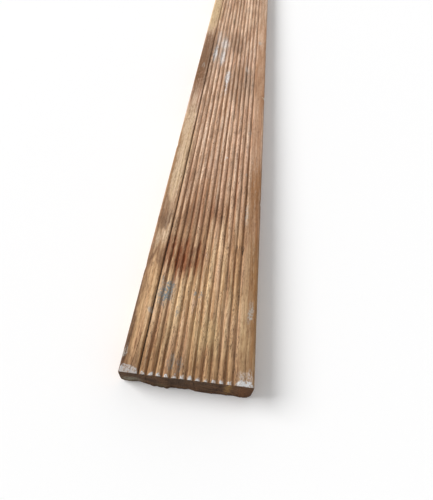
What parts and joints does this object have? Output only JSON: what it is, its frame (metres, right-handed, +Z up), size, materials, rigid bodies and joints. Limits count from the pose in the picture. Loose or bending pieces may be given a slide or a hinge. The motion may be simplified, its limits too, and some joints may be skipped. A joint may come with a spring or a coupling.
{
  "type": "decking board",
  "caption": "Grooved softwood decking board: a long planed plank with a ribbed walking face between plain edge strips, laid flat on joists as outdoor flooring.",
  "frame": {"origin": "centre of the underside, the face that lies on the joists", "axes": "+Z up out of the grooved walking face, +Y along the length, +X across the width"},
  "size_m": [0.12, 1.8, 0.028],
  "materials": {
    "treated_softwood": "matte"
  },
  "bodies": {
    "root": {"decking_board": "treated_softwood"}
  },
  "joints": []
}
